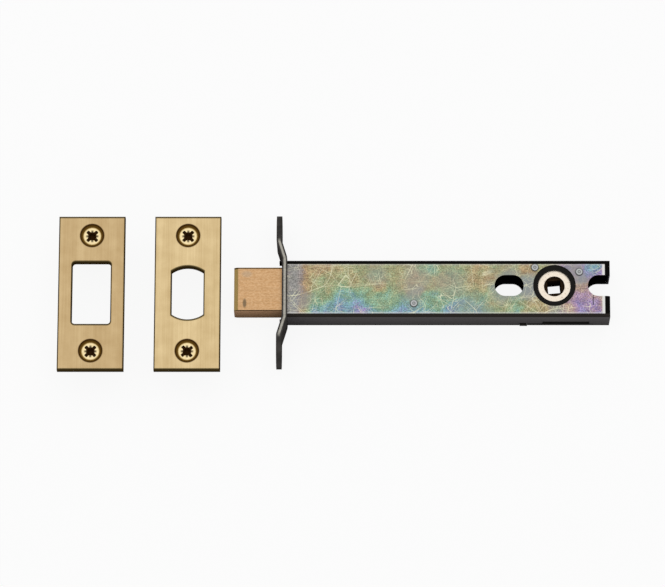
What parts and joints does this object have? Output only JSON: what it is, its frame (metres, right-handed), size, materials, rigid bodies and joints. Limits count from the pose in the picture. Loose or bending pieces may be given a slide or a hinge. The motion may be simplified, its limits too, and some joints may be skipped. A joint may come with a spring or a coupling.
{
  "type": "tubular bathroom deadbolt",
  "caption": "Tubular bathroom deadbolt: slim box case, sliding brass bolt drawn by a turning square-socket follower, cranked inner forend, separate face and strike plates.",
  "frame": {"origin": "on the bolt's axis, in the plane of the inner forend's ears where the face plate seats, halfway through the case", "axes": "+X back along the case to the follower, +Y across the case, +Z out of the case's front face"},
  "size_m": [0.2082, 0.0624, 0.0171],
  "materials": {
    "case_zinc": "zinc plated sheet steel with an iridescent yellow passivate",
    "forend_steel": "dark zinc plated sheet steel",
    "bolt_brass": "drawn brass bar, satin",
    "inner_steel": "plain steel",
    "follower_metal": "turned, nickel bright",
    "bush_plastic": "moulded black acetal",
    "spring_steel": "blued spring steel",
    "rivet_steel": "zinc plated",
    "face_plate_brass": "satin antique brass, brushed lengthways",
    "strike_plate_brass": "satin antique brass, brushed lengthways",
    "screw_brass": "bright brass plate"
  },
  "bodies": {
    "case": {"case_shell": "case_zinc", "case_cover": "case_zinc", "inner_forend": "forend_steel", "follower_bush_front": "bush_plastic", "follower_bush_rear": "bush_plastic", "detent_spring": "spring_steel", "guide_rivet": "rivet_steel", "spring_rivet_front": "rivet_steel", "spring_rivet_rear": "rivet_steel", "face_plate": "face_plate_brass", "face_plate_screw_upper": "screw_brass", "face_plate_screw_lower": "screw_brass", "strike_plate": "strike_plate_brass", "strike_screw_upper": "screw_brass", "strike_screw_lower": "screw_brass"},
    "bolt": {"bolt": "bolt_brass", "draw_bar": "inner_steel", "bolt_pin": "inner_steel"},
    "follower": {"follower": "follower_metal"}
  },
  "joints": [
    {"name": "follower_turn", "type": "hinge", "parent": "case", "child": "follower", "pos_m": [0.105, 0.00105, 0], "axis": [0, 0, 1], "range_deg": [0, 90], "deforming": ["detent_spring"]},
    {"name": "bolt_slide", "type": "slide", "parent": "case", "child": "bolt", "axis": [1, 0, 0], "range_m": [0, 0.013]}
  ],
  "couplings": [
    {"joint": "follower_turn", "follows": "bolt_slide", "rad_per_m": 120.83}
  ]
}
